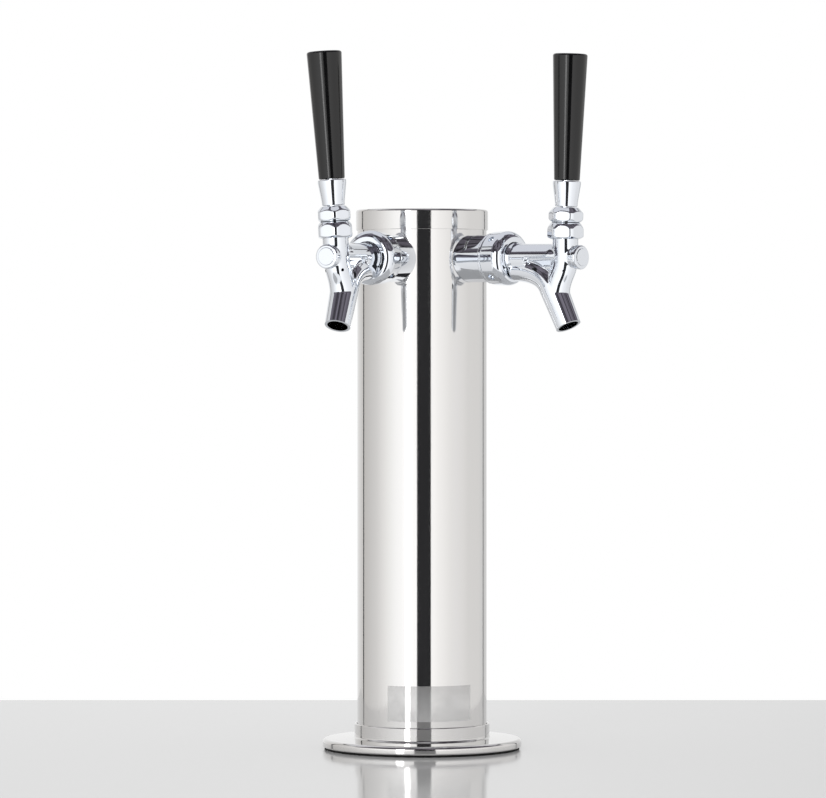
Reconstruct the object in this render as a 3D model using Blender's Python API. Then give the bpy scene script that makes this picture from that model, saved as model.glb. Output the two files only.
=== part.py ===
"""Two-tap beer tower: a polished column on a round flange, with a lift-off cap and two lever taps.

Each tap stands on a shank that clamps through the column wall. Pulling its handle forward rocks a ball
in the tap's head, and the lever's tip pushes the valve shaft back off its seat.
Metres, +Z up, -Y towards the person who pours. A tap's own frame has +X outward along its shank.
"""

import math

import bmesh
import bpy
from mathutils import Matrix, Vector

# Clearances and sizes that every piece shares
gap = 0.0003
overrun = 0.002
weld = 0.000001

# Column
column_radius = 0.0381
column_wall = 0.0015
tower_height = 0.3170

# Sides of the turned pieces, and the angle past which an edge stays sharp
column_sides = 40
round_sides = 18
body_sides = 16
small_sides = 14
hole_sides = 10
tube_sides = 8
bore_sides = 6
crease = math.radians(35)

# Base gasket and flange
gasket_thickness = 0.0008
gasket_inset = 0.0012
flange_radius = 0.0586
flange_plate = 0.0050
flange_rise = 0.0008
flange_bore = 0.0330
flange_seat = 0.0024
flange_fillet = 0.0010
collar_wall = 0.00135
collar_height = 0.0140
collar_round = 0.0008
bolt_count = 4
bolt_radius = 0.0025
bolt_depth = 0.0034
bolt_turn = math.radians(45)

# Cap
cap_wall = 0.0005
cap_plate = 0.0012
cap_skirt = 0.0120
cap_round = 0.0015

# Foam sleeve that lines the column
foam_thickness = 0.0080
foam_below_shanks = 0.0390

# Where the taps stand: half the angle between them, and the small roll of the left one
tap_half_angle = math.radians(37.7)
left_tap_roll = math.radians(2.9)
shanks_below_top = 0.0292

# Shank: tail, stem through the wall, stand-off sleeve, stop ring and threaded boss
shank_bore = 0.0019
shank_tail_end = 0.0245
shank_tail_radius = 0.0063
shank_stem_radius = 0.0080
sleeve_radius = 0.0138
sleeve_reach = 0.0550
stop_ring_radius = 0.0150
stop_ring_width = 0.0020
stop_ring_round = 0.0005
boss_radius = 0.0121
boss_length = 0.0055

# Clamping pieces inside the column
saddle_radius = 0.0118
saddle_middle = 0.0033
lock_nut_flats = 0.0220
lock_nut_width = 0.0055
tail_washer_width = 0.0010
tail_nut_flats = 0.0150
tail_nut_lip = 0.0018
tail_flange_width = 0.0015
tail_tube_radius = 0.0030
tail_bend = 0.0040
tail_drop = 0.0260
tail_lead = 0.0060
barb_count = 3
barb_pitch = 0.0048
barb_radius = 0.0038
barb_slope_share = 0.85

# Coupling between shank and tap
coupling_washer_width = 0.0009
coupling_washer_bore = 0.0062
coupling_washer_radius = 0.0103
tap_flange_radius = 0.0110
tap_flange_width = 0.0030
snap_ring_width = 0.0010
snap_ring_slot = 0.0030
nut_radius = 0.0158
nut_lip = 0.0026
nut_front_radius = 0.0112
nut_rear_round = 0.0008
nut_bulge = 0.0003
spanner_hole_count = 4
spanner_hole_radius = 0.0020
spanner_hole_depth = 0.0022

# Tap body
lever_reach = 0.1090
neck_radius = 0.0091
neck_ahead = 0.0008
barrel_radius = 0.0080
barrel_taper = 0.0004
chamber_radius = 0.0063
chamber_length = 0.0124
valve_bore = 0.0046
valve_bore_ahead = 0.0095
head_radius = 0.0074
head_top = 0.0122
nose_radius = 0.0056
button_radius = 0.0070
button_reach = 0.0122
button_width = 0.0034
button_back_round = 0.0006
button_round = 0.0011
button_disc_radius = 0.0048
button_disc_rise = 0.0004
web_wall = 0.0010
pocket_share = 0.66
pocket_end_radius = 0.0029
arm_drop = 0.0062
arm_radius = 0.0070
arm_run_share = 0.50
arm_lead_share = 0.28
arm_steps = 7
spout_angle = math.radians(27)
spout_forward = 0.0028
spout_drop = 0.0393
spout_straight = 0.0250
spout_steps = 4
spout_root_radius = 0.0078
spout_bore = 0.0049
mouth_radius = 0.0072
mouth_bore = 0.0057
web_foot = 0.0200
throat_radius = 0.0070
throat_bore = 0.0042
throat_foot = 0.0185
throat_fall = 0.0090
throat_curl = 0.0103
throat_steps = 6
vent_radius = 0.0011
vent_drop = 0.0078
vent_turn = math.radians(48)

# Valve inside the tap body
shaft_land = 0.0036
shaft_land_length = 0.0036
shaft_waist = 0.0024
shaft_stem = 0.0020
shaft_stem_tail = 0.0006
shaft_guide_behind = 0.0100
shaft_guide_ahead = 0.0062
seat_washer_radius = 0.0059
seat_washer_width = 0.0025
shaft_nut_flats = 0.0068
shaft_nut_width = 0.0030

# Lever in the tap's head, and the handle on it
pivot_height = 0.0125
lever_lean = math.radians(2.0)
lever_travel = math.radians(22)
ball_radius = 0.0055
tip_arm = 0.0130
tip_radius = 0.0022
tip_neck = 0.0018
lever_neck = 0.0028
stud_radius = 0.0034
stud_top = 0.0450
stud_chamfer = 0.0009
ball_washer_bore = 0.0045
ball_washer_width = 0.0012
friction_washer_bore = 0.00525
friction_washer_width = 0.0011
bonnet_bottom = 0.0105
bonnet_corner = 0.0105
bonnet_foot_radius = 0.0085
bonnet_foot_rise = 0.0012
bonnet_sphere = 0.01115
bonnet_to_collar = 0.00035
bonnet_ring_width = 0.0008
collar_nut_corner = 0.0100
collar_nut_foot = 0.0085
collar_nut_top = 0.0163
collar_nut_top_radius = 0.0070
collar_nut_shoulder = 0.0016
ferrule_length = 0.0147
ferrule_bottom_radius = 0.00655
ferrule_top_radius = 0.0081
ferrule_round = 0.0007
ferrule_band = 0.0021
grip_length = 0.0725
grip_bottom_radius = 0.0074
grip_top_radius = 0.0100
grip_bottom_round = 0.0008
grip_top_round = 0.0014

# Places that follow from the sizes above
shank_height = tower_height - shanks_below_top
flange_bottom = gasket_thickness + gap
seat_level = flange_bottom + flange_seat
column_foot = seat_level + gap
column_top = tower_height - cap_plate - gap
column_inner = column_radius - column_wall
bolt_circle = (column_radius + flange_radius) / 2
foam_radius = column_inner - gap
stop_ring_end = sleeve_reach + stop_ring_width
boss_end = stop_ring_end + boss_length
tap_rear = boss_end + gap + coupling_washer_width + gap
tap_flange_end = tap_rear + tap_flange_width
snap_ring_start = tap_flange_end + gap
nut_lip_start = snap_ring_start + snap_ring_width + gap
nut_front = nut_lip_start + nut_lip
arm_start = nut_front + neck_ahead
pocket_reach = (lever_reach - arm_start) * pocket_share
seat_face = tap_rear + chamber_length
saddle_back = foam_radius - saddle_middle
lock_nut_front = saddle_back - gap
lock_nut_back = lock_nut_front - lock_nut_width
tail_washer_back = shank_tail_end - gap - tail_washer_width
tail_flange_front = tail_washer_back - gap
tail_flange_back = tail_flange_front - tail_flange_width
tail_nut_back = tail_flange_back - gap - tail_nut_lip
tail_nut_front = lock_nut_back - gap
tail_elbow_reach = tail_nut_back - tail_bend
tip_rest = lever_reach - tip_arm * math.sin(lever_lean)
collar_sphere = bonnet_sphere + bonnet_to_collar
grip_bottom = collar_nut_top + gap + ferrule_length + gap
grip_top = grip_bottom + grip_length
button_ahead = (lever_reach + button_reach) * math.cos(tap_half_angle)
column_back = (button_ahead + button_radius * math.sin(tap_half_angle) - flange_radius) / 2
column_aside = (pivot_height + grip_top) * math.sin(left_tap_roll) * math.cos(tap_half_angle) / 2

FINISHES = {
    "polished_steel": ((0.80, 0.79, 0.77), 0.08, 1.0),
    "chrome": ((0.83, 0.85, 0.90), 0.05, 1.0),
    "steel": ((0.62, 0.62, 0.61), 0.25, 1.0),
    "brass": ((0.72, 0.55, 0.25), 0.30, 1.0),
    "black_plastic": ((0.012, 0.012, 0.014), 0.18, 0.0),
    "rubber": ((0.025, 0.025, 0.025), 0.70, 0.0),
    "foam": ((0.060, 0.060, 0.065), 0.90, 0.0),
    "nylon": ((0.80, 0.79, 0.74), 0.45, 0.0),
}


# Outlines

def arc(centre, radius, start, end, steps, height=None):
    """Points of an arc, or of an elliptic one where a height is given, with both ends."""
    tall = radius if height is None else height
    angles = [start + (end - start) * step / steps for step in range(steps + 1)]
    return [(centre[0] + radius * math.cos(a), centre[1] + tall * math.sin(a)) for a in angles]


def bezier(corners, steps):
    """Points of the cubic curve that four corners steer."""
    points = []
    for step in range(steps + 1):
        t = step / steps
        shares = ((1 - t) ** 3, 3 * t * (1 - t) ** 2, 3 * t * t * (1 - t), t ** 3)
        points.append(sum((share * Vector(corner) for share, corner in zip(shares, corners)), Vector((0, 0))))
    return points


def ring_outline(bore, radius, low, high):
    """A plain washer's or sleeve's section."""
    return [(bore, low), (radius, low), (radius, high), (bore, high)]


def graded(first, last, steps):
    """Even steps from one value to another, with both ends."""
    return [first + (last - first) * step / steps for step in range(steps + 1)]


# Solids

def blank(name, bm):
    """A mesh object of the bmesh, with its faces turned outward."""
    bmesh.ops.remove_doubles(bm, verts=bm.verts, dist=weld)
    bmesh.ops.recalc_face_normals(bm, faces=bm.faces)
    mesh = bpy.data.meshes.new(name)
    bm.to_mesh(mesh)
    bm.free()
    made = bpy.data.objects.new(name, mesh)
    bpy.context.scene.collection.objects.link(made)
    return made


def turned(name, outline, sides=round_sides, along_x=False):
    """The outline of (radius, height) points turned round Z, or round X for a piece on the shank's line."""
    bm = bmesh.new()
    points = [bm.verts.new((radius, 0, height)) for radius, height in outline]
    edges = [bm.edges.new(pair) for pair in zip(points, points[1:])]
    if outline[0][0] > 0 or outline[-1][0] > 0:
        edges.append(bm.edges.new((points[-1], points[0])))
    bmesh.ops.spin(
        bm, geom=points + edges, cent=(0, 0, 0), axis=(0, 0, 1), angle=math.tau, steps=sides, use_merge=True
    )
    if along_x:
        bmesh.ops.rotate(bm, verts=bm.verts, cent=(0, 0, 0), matrix=Matrix.Rotation(math.radians(90), 3, "Y"))
    return blank(name, bm)


def rod(name, start, end, radius, sides=round_sides):
    """A plain round rod between two points."""
    line = Vector(end) - Vector(start)
    turn = line.to_track_quat("Z", "Y").to_matrix().to_4x4()
    bm = bmesh.new()
    bmesh.ops.create_cone(
        bm, cap_ends=True, segments=sides, radius1=radius, radius2=radius, depth=line.length,
        matrix=Matrix.Translation((Vector(start) + Vector(end)) / 2) @ turn,
    )
    return blank(name, bm)


def block(name, low, high):
    """A box between two corners."""
    bm = bmesh.new()
    size = [b - a for a, b in zip(low, high)]
    middle = [(a + b) / 2 for a, b in zip(low, high)]
    bmesh.ops.create_cube(bm, size=1, matrix=Matrix.Translation(middle) @ Matrix.Diagonal((*size, 1)))
    return blank(name, bm)


def plate(name, outline, low, high):
    """An outline of (x, z) points extruded across Y from low to high."""
    bm = bmesh.new()
    face = bm.faces.new([bm.verts.new((x, low, z)) for x, z in outline])
    grown = bmesh.ops.extrude_face_region(bm, geom=[face])
    moved = [item for item in grown["geom"] if isinstance(item, bmesh.types.BMVert)]
    bmesh.ops.translate(bm, verts=moved, vec=(0, high - low, 0))
    return blank(name, bm)


def swept(name, line, radii, sides=round_sides):
    """Round sections of the given radii along a line of (x, z) points, bridged one to the next."""
    bm = bmesh.new()
    rings = []
    for place, (point, radius) in enumerate(zip(line, radii)):
        before = Vector(line[max(place - 1, 0)])
        after = Vector(line[min(place + 1, len(line) - 1)])
        heading = (after - before).normalized()
        frame = Matrix(
            ((0, heading.y, heading.x), (1, 0, 0), (0, -heading.x, heading.y))
        ).to_4x4()
        frame.translation = (point[0], 0, point[1])
        made = bmesh.ops.create_circle(bm, segments=sides, radius=radius, matrix=frame)
        rings.append({edge for vert in made["verts"] for edge in vert.link_edges})
    for first, second in zip(rings, rings[1:]):
        bmesh.ops.bridge_loops(bm, edges=list(first | second))
    bmesh.ops.contextual_create(bm, geom=list(rings[0]))
    bmesh.ops.contextual_create(bm, geom=list(rings[-1]))
    return blank(name, bm)


def hexagon(name, corner, low, high, along_x=False):
    """A six-sided bar, a flat side towards each end of Y."""
    bm = bmesh.new()
    bmesh.ops.create_cone(
        bm, cap_ends=True, segments=6, radius1=corner, radius2=corner, depth=high - low,
        matrix=Matrix.Translation((0, 0, (low + high) / 2)),
    )
    if along_x:
        bmesh.ops.rotate(bm, verts=bm.verts, cent=(0, 0, 0), matrix=Matrix.Rotation(math.radians(90), 3, "Y"))
    return blank(name, bm)


def shaped(first, joins=(), keeps=(), cuts=()):
    """The first blank joined to some, kept inside others and cut by the rest, as one blank again."""
    for operation, tools in (("UNION", joins), ("INTERSECT", keeps), ("DIFFERENCE", cuts)):
        for tool in tools:
            modifier = first.modifiers.new(tool.name, "BOOLEAN")
            modifier.operation = operation
            modifier.object = tool
    bpy.context.view_layer.update()
    result = bpy.data.meshes.new_from_object(first.evaluated_get(bpy.context.evaluated_depsgraph_get()))
    made = bpy.data.objects.new(first.name, result)
    for used in (first, *joins, *keeps, *cuts):
        bpy.data.objects.remove(used)
    bpy.context.scene.collection.objects.link(made)
    return made


def finish(made, name, look, parent=None):
    """Names a blank as a finished piece, gives it its material and puts it under its parent."""
    colour, roughness, metallic = FINISHES[look]
    material = bpy.data.materials.new(name)
    material.use_nodes = True
    shader = material.node_tree.nodes["Principled BSDF"]
    shader.inputs["Base Color"].default_value = (*colour, 1)
    shader.inputs["Roughness"].default_value = roughness
    shader.inputs["Metallic"].default_value = metallic
    material.diffuse_color = (*colour, 1)
    made.name = name
    made.data.name = name
    made.data.materials.clear()
    made.data.materials.append(material)
    made.data.shade_smooth()
    made.data.set_sharp_from_angle(angle=crease)
    made.parent = parent
    return made


def empty(name, parent, location, rotation=(0, 0, 0)):
    """An axis or frame that pieces hang from."""
    made = bpy.data.objects.new(name, None)
    made.empty_display_size = column_radius
    made.parent = parent
    made.location = location
    made.rotation_euler = rotation
    bpy.context.scene.collection.objects.link(made)
    return made


# Base

def base_gasket(parent):
    outline = ring_outline(flange_bore, flange_radius - gasket_inset, 0, gasket_thickness)
    holes = bolt_holes(0, gasket_thickness + overrun, bolt_radius + gap)
    gasket = shaped(turned("gasket", outline, column_sides), cuts=holes)
    return finish(gasket, "base_gasket", "rubber", parent)


def bolt_holes(low, high, radius):
    """Cutters for the ring of mounting bolts, from an overrun below the low level."""
    holes = []
    for step in range(bolt_count):
        angle = bolt_turn + math.tau * step / bolt_count
        spot = (bolt_circle * math.cos(angle), bolt_circle * math.sin(angle))
        holes.append(rod(f"bolt_{step}", (*spot, low - overrun), (*spot, high), radius, hole_sides))
    return holes


def base_flange(parent):
    """A spun plate with a rounded rim and a collar that the column stands in, tapped from beneath."""
    nose = flange_plate / 2
    top = flange_bottom + flange_plate
    inner = column_radius + gap
    outer = inner + collar_wall
    collar_top = flange_bottom + collar_height
    rise = top + flange_rise
    outline = [(flange_bore, flange_bottom)]
    outline += arc((flange_radius - nose, flange_bottom + nose), nose, math.radians(-90), math.radians(90), 3)
    outline += [(outer + flange_fillet, rise), (outer, rise + flange_fillet)]
    outline += arc((outer - collar_round, collar_top - collar_round), collar_round, 0, math.radians(90), 2)
    outline += [(inner, collar_top), (inner, seat_level), (flange_bore, seat_level)]
    holes = bolt_holes(flange_bottom, flange_bottom + bolt_depth, bolt_radius)
    flange = shaped(turned("flange", outline, column_sides), cuts=holes)
    return finish(flange, "base_flange", "polished_steel", parent)


# Column

def tap_frames(column):
    """The frame of each tap: on the column's axis, +X along the shank."""
    forward = math.radians(-90)
    turns = {"left": forward - tap_half_angle, "right": forward + tap_half_angle}
    rolls = {"left": left_tap_roll, "right": 0}
    return {
        side: empty(f"{side}_tap_frame", column, (0, 0, shank_height), (rolls[side], 0, turn))
        for side, turn in turns.items()
    }


def column_tube(parent, frames):
    tube = turned("tube", ring_outline(column_inner, column_radius, column_foot, column_top), column_sides)
    holes = []
    near, far = (column_inner - overrun, 0, 0), (column_radius + overrun, 0, 0)
    for side, frame in frames.items():
        hole = rod(f"{side}_hole", near, far, shank_stem_radius + gap, small_sides)
        turn = frame.rotation_euler.to_matrix().to_4x4()
        hole.data.transform(Matrix.Translation(frame.location) @ turn)
        holes.append(hole)
    return finish(shaped(tube, cuts=holes), "column_tube", "polished_steel", parent)


def foam_sleeve(parent):
    top = shank_height - foam_below_shanks
    outline = ring_outline(foam_radius - foam_thickness, foam_radius, column_foot, top)
    return finish(turned("foam", outline, round_sides), "insulation_sleeve", "foam", parent)


def top_cap(parent):
    """A drawn cap whose skirt slips over the column."""
    inner = column_radius + gap
    outer = inner + cap_wall
    outline = [(0, tower_height)]
    outline += arc((outer - cap_round, tower_height - cap_round), cap_round, math.radians(90), 0, 3)
    outline += [(outer, tower_height - cap_skirt), (inner, tower_height - cap_skirt)]
    outline += [(inner, tower_height - cap_plate), (0, tower_height - cap_plate)]
    return finish(turned("cap", outline, column_sides), "top_cap", "polished_steel", parent)


# Shank and what clamps it

def shank(side, parent):
    """Turned in one: the sleeve's end is hollowed to the column, and a stem passes through the wall."""
    ring = stop_ring_round
    root = math.sqrt(column_radius ** 2 - sleeve_radius ** 2) - gap
    sleeve = turned(
        "sleeve",
        [(0, root), (sleeve_radius, root), (sleeve_radius, sleeve_reach)]
        + arc((stop_ring_radius - ring, sleeve_reach + ring), ring, math.radians(-90), 0, 1)
        + arc((stop_ring_radius - ring, stop_ring_end - ring), ring, 0, math.radians(90), 1)
        + [(boss_radius, stop_ring_end), (boss_radius, boss_end), (0, boss_end)],
        along_x=True,
    )
    column = rod("column", (0, 0, -column_radius), (0, 0, column_radius), column_radius + gap, column_sides)
    body = shaped(sleeve, cuts=[column])
    stem = turned(
        "stem",
        [
            (0, shank_tail_end), (shank_tail_radius, shank_tail_end), (shank_tail_radius, tail_nut_front),
            (shank_stem_radius, tail_nut_front), (shank_stem_radius, sleeve_reach), (0, sleeve_reach),
        ],
        small_sides,
        along_x=True,
    )
    bore = rod("bore", (shank_tail_end - overrun, 0, 0), (boss_end + overrun, 0, 0), shank_bore, bore_sides)
    return finish(shaped(body, joins=[stem], cuts=[bore]), f"{side}_shank", "chrome", parent)


def saddle_washer(side, parent):
    """Fills the hollow side of the column wall, so that the lock nut pulls on a flat."""
    reach = foam_radius + overrun
    outline = ring_outline(shank_stem_radius + gap, saddle_radius, saddle_back, reach)
    blank_ring = turned("saddle", outline, small_sides, along_x=True)
    inside = rod("inside", (0, 0, -column_radius), (0, 0, column_radius), foam_radius, column_sides)
    return finish(shaped(blank_ring, keeps=[inside]), f"{side}_saddle_washer", "nylon", parent)


def plain_nut(name, flats, bore, low, high, look, parent):
    """A six-sided nut with its corners turned off at the end that faces away from its seat."""
    corner = flats / math.sqrt(3)
    flat = flats / 2
    over = corner + gap
    barrel = turned(
        "corners", [(0, low), (flat, low), (over, low + over - flat), (over, high), (0, high)], small_sides,
        along_x=True,
    )
    hole = rod("bore", (low - overrun, 0, 0), (high + overrun, 0, 0), bore, small_sides)
    bar = hexagon("bar", corner, low - overrun, high + overrun, along_x=True)
    return finish(shaped(bar, keeps=[barrel], cuts=[hole]), name, look, parent)


def tail_washer(side, parent):
    outline = ring_outline(
        shank_bore, shank_tail_radius - gap, tail_washer_back, tail_washer_back + tail_washer_width
    )
    washer = turned("washer", outline, small_sides, along_x=True)
    return finish(washer, f"{side}_tail_washer", "rubber", parent)


def tail_nut(side, parent):
    """Draws the tail elbow's flange against the end of the shank."""
    corner = tail_nut_flats / math.sqrt(3)
    flat = tail_nut_flats / 2
    over = corner + gap
    low, high = tail_nut_back, tail_nut_front - gap
    barrel = turned(
        "corners", [(0, low), (flat, low), (over, low + over - flat), (over, high), (0, high)], small_sides,
        along_x=True,
    )
    start = tail_flange_back - gap
    hollow = rod("hollow", (start, 0, 0), (high + overrun, 0, 0), shank_tail_radius + gap, small_sides)
    lip = rod("lip", (low - overrun, 0, 0), (tail_flange_back, 0, 0), tail_tube_radius + gap, hole_sides)
    bar = hexagon("bar", corner, low - overrun, high + overrun, along_x=True)
    return finish(shaped(bar, keeps=[barrel], cuts=[hollow, lip]), f"{side}_tail_nut", "brass", parent)


def tail_elbow(side, parent):
    """A bent tube with a flange at the shank and barbs for the beer hose, which hangs straight down."""
    tube_line = elbow_line(-tail_flange_width / 2, tail_lead)
    tube = swept("tube", tube_line, [tail_tube_radius] * len(tube_line), tube_sides)
    ends = (tail_flange_back, 0, 0), (tail_flange_front, 0, 0)
    flange = rod("flange", *ends, shank_tail_radius - gap, small_sides)
    root = tail_tube_radius - gap
    foot = -tail_bend - tail_drop
    outline = [(0, foot)]
    for step in range(barb_count):
        low = foot + step * barb_pitch
        high = low + barb_pitch * barb_slope_share
        outline += [(root, low), (barb_radius, high), (root, high)]
    outline += [(root, -tail_bend - gap), (0, -tail_bend - gap)]
    leg = turned("leg", outline, tube_sides)
    leg.data.transform(Matrix.Translation((tail_elbow_reach, 0, 0)))
    bore_line = elbow_line(overrun, tail_drop + overrun)
    bore = swept("bore", bore_line, [shank_bore] * len(bore_line), bore_sides)
    return finish(shaped(tube, joins=[flange, leg], cuts=[bore]), f"{side}_tail_elbow", "steel", parent)


def elbow_line(ahead, below):
    """The elbow's middle line, from the given length ahead of its flange to one below its bend."""
    bend = arc((tail_nut_back, -tail_bend), tail_bend, math.radians(90), math.radians(180), 3)
    return [(tail_flange_front + ahead, 0), *bend, (tail_elbow_reach, -tail_bend - below)]


# Coupling

def coupling_washer(side, parent):
    low = boss_end + gap
    outline = ring_outline(coupling_washer_bore, coupling_washer_radius, low, low + coupling_washer_width)
    washer = turned("washer", outline, small_sides, along_x=True)
    return finish(washer, f"{side}_coupling_washer", "rubber", parent)


def snap_ring(side, parent):
    """A split ring behind the nut's lip, which carries the pull of the nut to the tap's flange."""
    low, high = snap_ring_start, snap_ring_start + snap_ring_width
    half = snap_ring_slot / 2
    outline = ring_outline(neck_radius + gap, tap_flange_radius + 2 * gap, low, high)
    ring = turned("ring", outline, small_sides, along_x=True)
    slot = block("slot", (low - overrun, -half, 0), (high + overrun, half, tap_flange_radius + overrun))
    return finish(shaped(ring, cuts=[slot]), f"{side}_snap_ring", "steel", parent)


def coupling_nut(side, parent):
    """A round nut with a domed front and radial holes for a pin spanner."""
    rear = stop_ring_end + gap
    edge = nut_rear_round
    thread = boss_radius + gap
    front_depth = nut_front - nut_lip_start + nut_lip
    outline = [(thread, rear)]
    outline += arc((nut_radius - nut_bulge - edge, rear + edge), edge, math.radians(-90), 0, 1)
    dome = (nut_front_radius, nut_front - front_depth)
    outline += arc(dome, nut_radius - nut_front_radius, 0, math.radians(90), 4, front_depth)
    outline += [(neck_radius + gap, nut_front), (neck_radius + gap, nut_lip_start), (thread, nut_lip_start)]
    middle = (rear + nut_front - front_depth) / 2 + spanner_hole_radius / 2
    holes = []
    for step in range(spanner_hole_count):
        turn = math.radians(45) + math.tau * step / spanner_hole_count
        out = Vector((0, math.cos(turn), math.sin(turn)))
        place = Vector((middle, 0, 0))
        holes.append(
            rod(
                f"spanner_{step}", place + out * (nut_radius - spanner_hole_depth),
                place + out * (nut_radius + overrun), spanner_hole_radius, tube_sides,
            )
        )
    nut = turned("nut", outline, along_x=True)
    return finish(shaped(nut, cuts=holes), f"{side}_coupling_nut", "chrome", parent)


# Tap body

def spout_point(back):
    """A point on the spout's straight middle line, the given length up from the middle of its mouth."""
    mouth = Vector((lever_reach + spout_forward, -spout_drop))
    return mouth + back * Vector((-math.sin(spout_angle), math.cos(spout_angle)))


def throat_line(past):
    """The middle line from the tap's head down into the spout."""
    end = spout_point(throat_foot)
    corners = ((lever_reach, past), (lever_reach, -throat_fall), (end.x, -throat_curl), tuple(end))
    return bezier(corners, throat_steps)


def barrel(web):
    """The level tube that holds the valve, hollowed on both sides below its middle."""
    tube = turned(
        "barrel",
        [
            (0, tap_rear), (tap_flange_radius, tap_rear), (tap_flange_radius, tap_flange_end),
            (neck_radius, tap_flange_end), (neck_radius, arm_start),
            (barrel_radius + barrel_taper, arm_start + neck_ahead),
            (barrel_radius, lever_reach - head_radius),
            (head_radius - barrel_taper, lever_reach), (0, lever_reach),
        ],
        along_x=True,
    )
    start = lever_reach - pocket_reach + pocket_end_radius
    outline = arc((start, -pocket_end_radius), pocket_end_radius, math.radians(90), math.radians(180), 4)
    far = barrel_radius + overrun
    past = lever_reach + overrun
    outline += [(start - pocket_end_radius, -far), (past, -far), (past, 0)]
    return shaped(tube, cuts=[plate("near", outline, web, far), plate("other", outline, -far, -web)])


def tap_body(side, parent):
    """One chromed casting: flange, barrel, web, lever head, front button, arm, throat and spout."""
    web = valve_bore + web_wall
    arm_end = spout_point(spout_straight)
    length = arm_end.x - arm_start
    arm_turn = spout_point(spout_straight + length * arm_lead_share)
    level_end = (arm_start + length * arm_run_share, -arm_drop)
    corners = ((arm_start, -arm_drop), level_end, tuple(arm_turn), tuple(arm_end))
    arm = bezier(corners, arm_steps)
    radii = graded(arm_radius, spout_root_radius, arm_steps)
    spout = [spout_point(back) for back in graded(spout_straight, 0, spout_steps)[1:]]
    radii += graded(spout_root_radius, mouth_radius, spout_steps)[1:]
    lower = swept("lower", arm + spout, radii, body_sides)
    throat = swept("throat", throat_line(0), [throat_radius] * (throat_steps + 1), body_sides)
    web_outline = [(arm_start + arm_radius, 0), (lever_reach, 0), tuple(throat_line(0)[throat_steps // 2])]
    web_outline += [tuple(spout_point(web_foot)), *[tuple(point) for point in reversed(arm[2:-1])]]
    web_plate = plate("web", web_outline, gap - web, web - gap)
    under = arc((0, 0), head_radius, math.radians(-90), 0, 4)
    head = turned("head", [*under, (head_radius, head_top), (0, head_top)])
    head.data.transform(Matrix.Translation((lever_reach, 0, 0)))
    body = shaped(barrel(web), joins=[web_plate, lower, throat, head, nose()], cuts=body_bores())
    return finish(body, f"{side}_faucet_body", "chrome", parent)


def nose():
    """The front boss under the lever, which ends in a round button with a raised disc."""
    face = lever_reach + button_reach
    back = face - button_width
    root = lever_reach - head_radius / 2
    outline = [(0, root), (nose_radius, root), (nose_radius, back)]
    outline += [(button_radius - button_back_round, back), (button_radius, back + button_back_round)]
    outline += arc((button_radius - button_round, face - button_round), button_round, 0, math.radians(90), 2)
    outline += [
        (button_disc_radius, face - button_disc_rise / 2),
        (button_disc_radius - button_disc_rise, face + button_disc_rise / 2),
        (0, face + button_disc_rise),
    ]
    return turned("nose", outline, along_x=True)


def body_bores():
    """Chamber and valve bore along the barrel, lever socket in the head, spout bore and vents."""
    reach = lever_reach + valve_bore_ahead
    valve = turned(
        "valve",
        [
            (0, tap_rear - overrun), (chamber_radius, tap_rear - overrun), (chamber_radius, seat_face),
            (valve_bore, seat_face), (valve_bore, reach), (0, reach),
        ],
        body_sides,
        along_x=True,
    )
    ledge = pivot_height + ball_washer_levels()[0] - gap
    socket = turned(
        "socket",
        [
            (0, 0), (ball_radius - gap, 0), (ball_radius - gap, ledge), (ball_radius + gap, ledge),
            (ball_radius + gap, head_top + overrun), (0, head_top + overrun),
        ],
        body_sides,
    )
    socket.data.transform(Matrix.Translation((lever_reach, 0, 0)))
    swing = (pivot_height * math.tan(lever_lean + lever_travel)) + tip_neck
    half = tip_radius + gap
    slot = block("slot", (lever_reach - swing, -half, 0), (lever_reach, half, ledge - ball_washer_width))
    down = throat_line(-gap)
    low = [spout_point(back) for back in (web_foot - spout_bore, (web_foot - spout_bore) / 2, -overrun)]
    bore_radii = [throat_bore] * throat_steps + [spout_bore, mouth_bore, mouth_bore]
    spout = swept("spout", down[:-1] + low, bore_radii, body_sides)
    cuts = [valve, socket, slot, spout]
    at = throat_line(0)[2]
    for name, turn in (("near_vent", vent_turn), ("other_vent", -vent_turn)):
        out = Vector((math.cos(turn), math.sin(turn), 0))
        middle = Vector((at.x, 0, -vent_drop))
        start, end = middle + out * vent_radius * 2, middle + out * (throat_radius + overrun)
        cuts.append(rod(name, start, end, vent_radius, tube_sides))
    return cuts


# Valve

def valve_shaft(side, parent):
    """Stem for the seat washer, land, waist, and a guide whose slot leaves the leaning lever its room."""
    land_end = seat_face + shaft_land_length
    guide = valve_bore - gap
    guide_start = lever_reach - shaft_guide_behind
    guide_end = lever_reach + shaft_guide_ahead
    stem_end = seat_face - 2 * gap - seat_washer_width - gap - shaft_nut_width - shaft_stem_tail
    shaft = turned(
        "shaft",
        [
            (0, stem_end), (shaft_stem, stem_end), (shaft_stem, seat_face), (shaft_land, seat_face),
            (shaft_land, land_end), (shaft_waist, land_end + shaft_land - shaft_waist),
            (shaft_waist, guide_start - guide + shaft_waist), (guide, guide_start), (guide, guide_end),
            (0, guide_end),
        ],
        small_sides,
        along_x=True,
    )
    half = tip_radius + gap
    far = valve_bore + overrun
    lean = lever_lean + lever_travel
    run = math.tan(lean)
    neck_front = tip_neck / math.cos(lean) + gap
    below = tip_arm - pivot_height
    outline = [(tip_rest - half, far), (tip_rest - half, -far), (tip_rest + half, -far)]
    outline += [(tip_rest + half, (half - neck_front) / run - below)]
    outline += [(tip_rest + neck_front + run * (far + below), far)]
    slot = plate("slot", outline, -half, half)
    return finish(shaped(shaft, cuts=[slot]), f"{side}_valve_shaft", "steel", parent)


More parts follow.
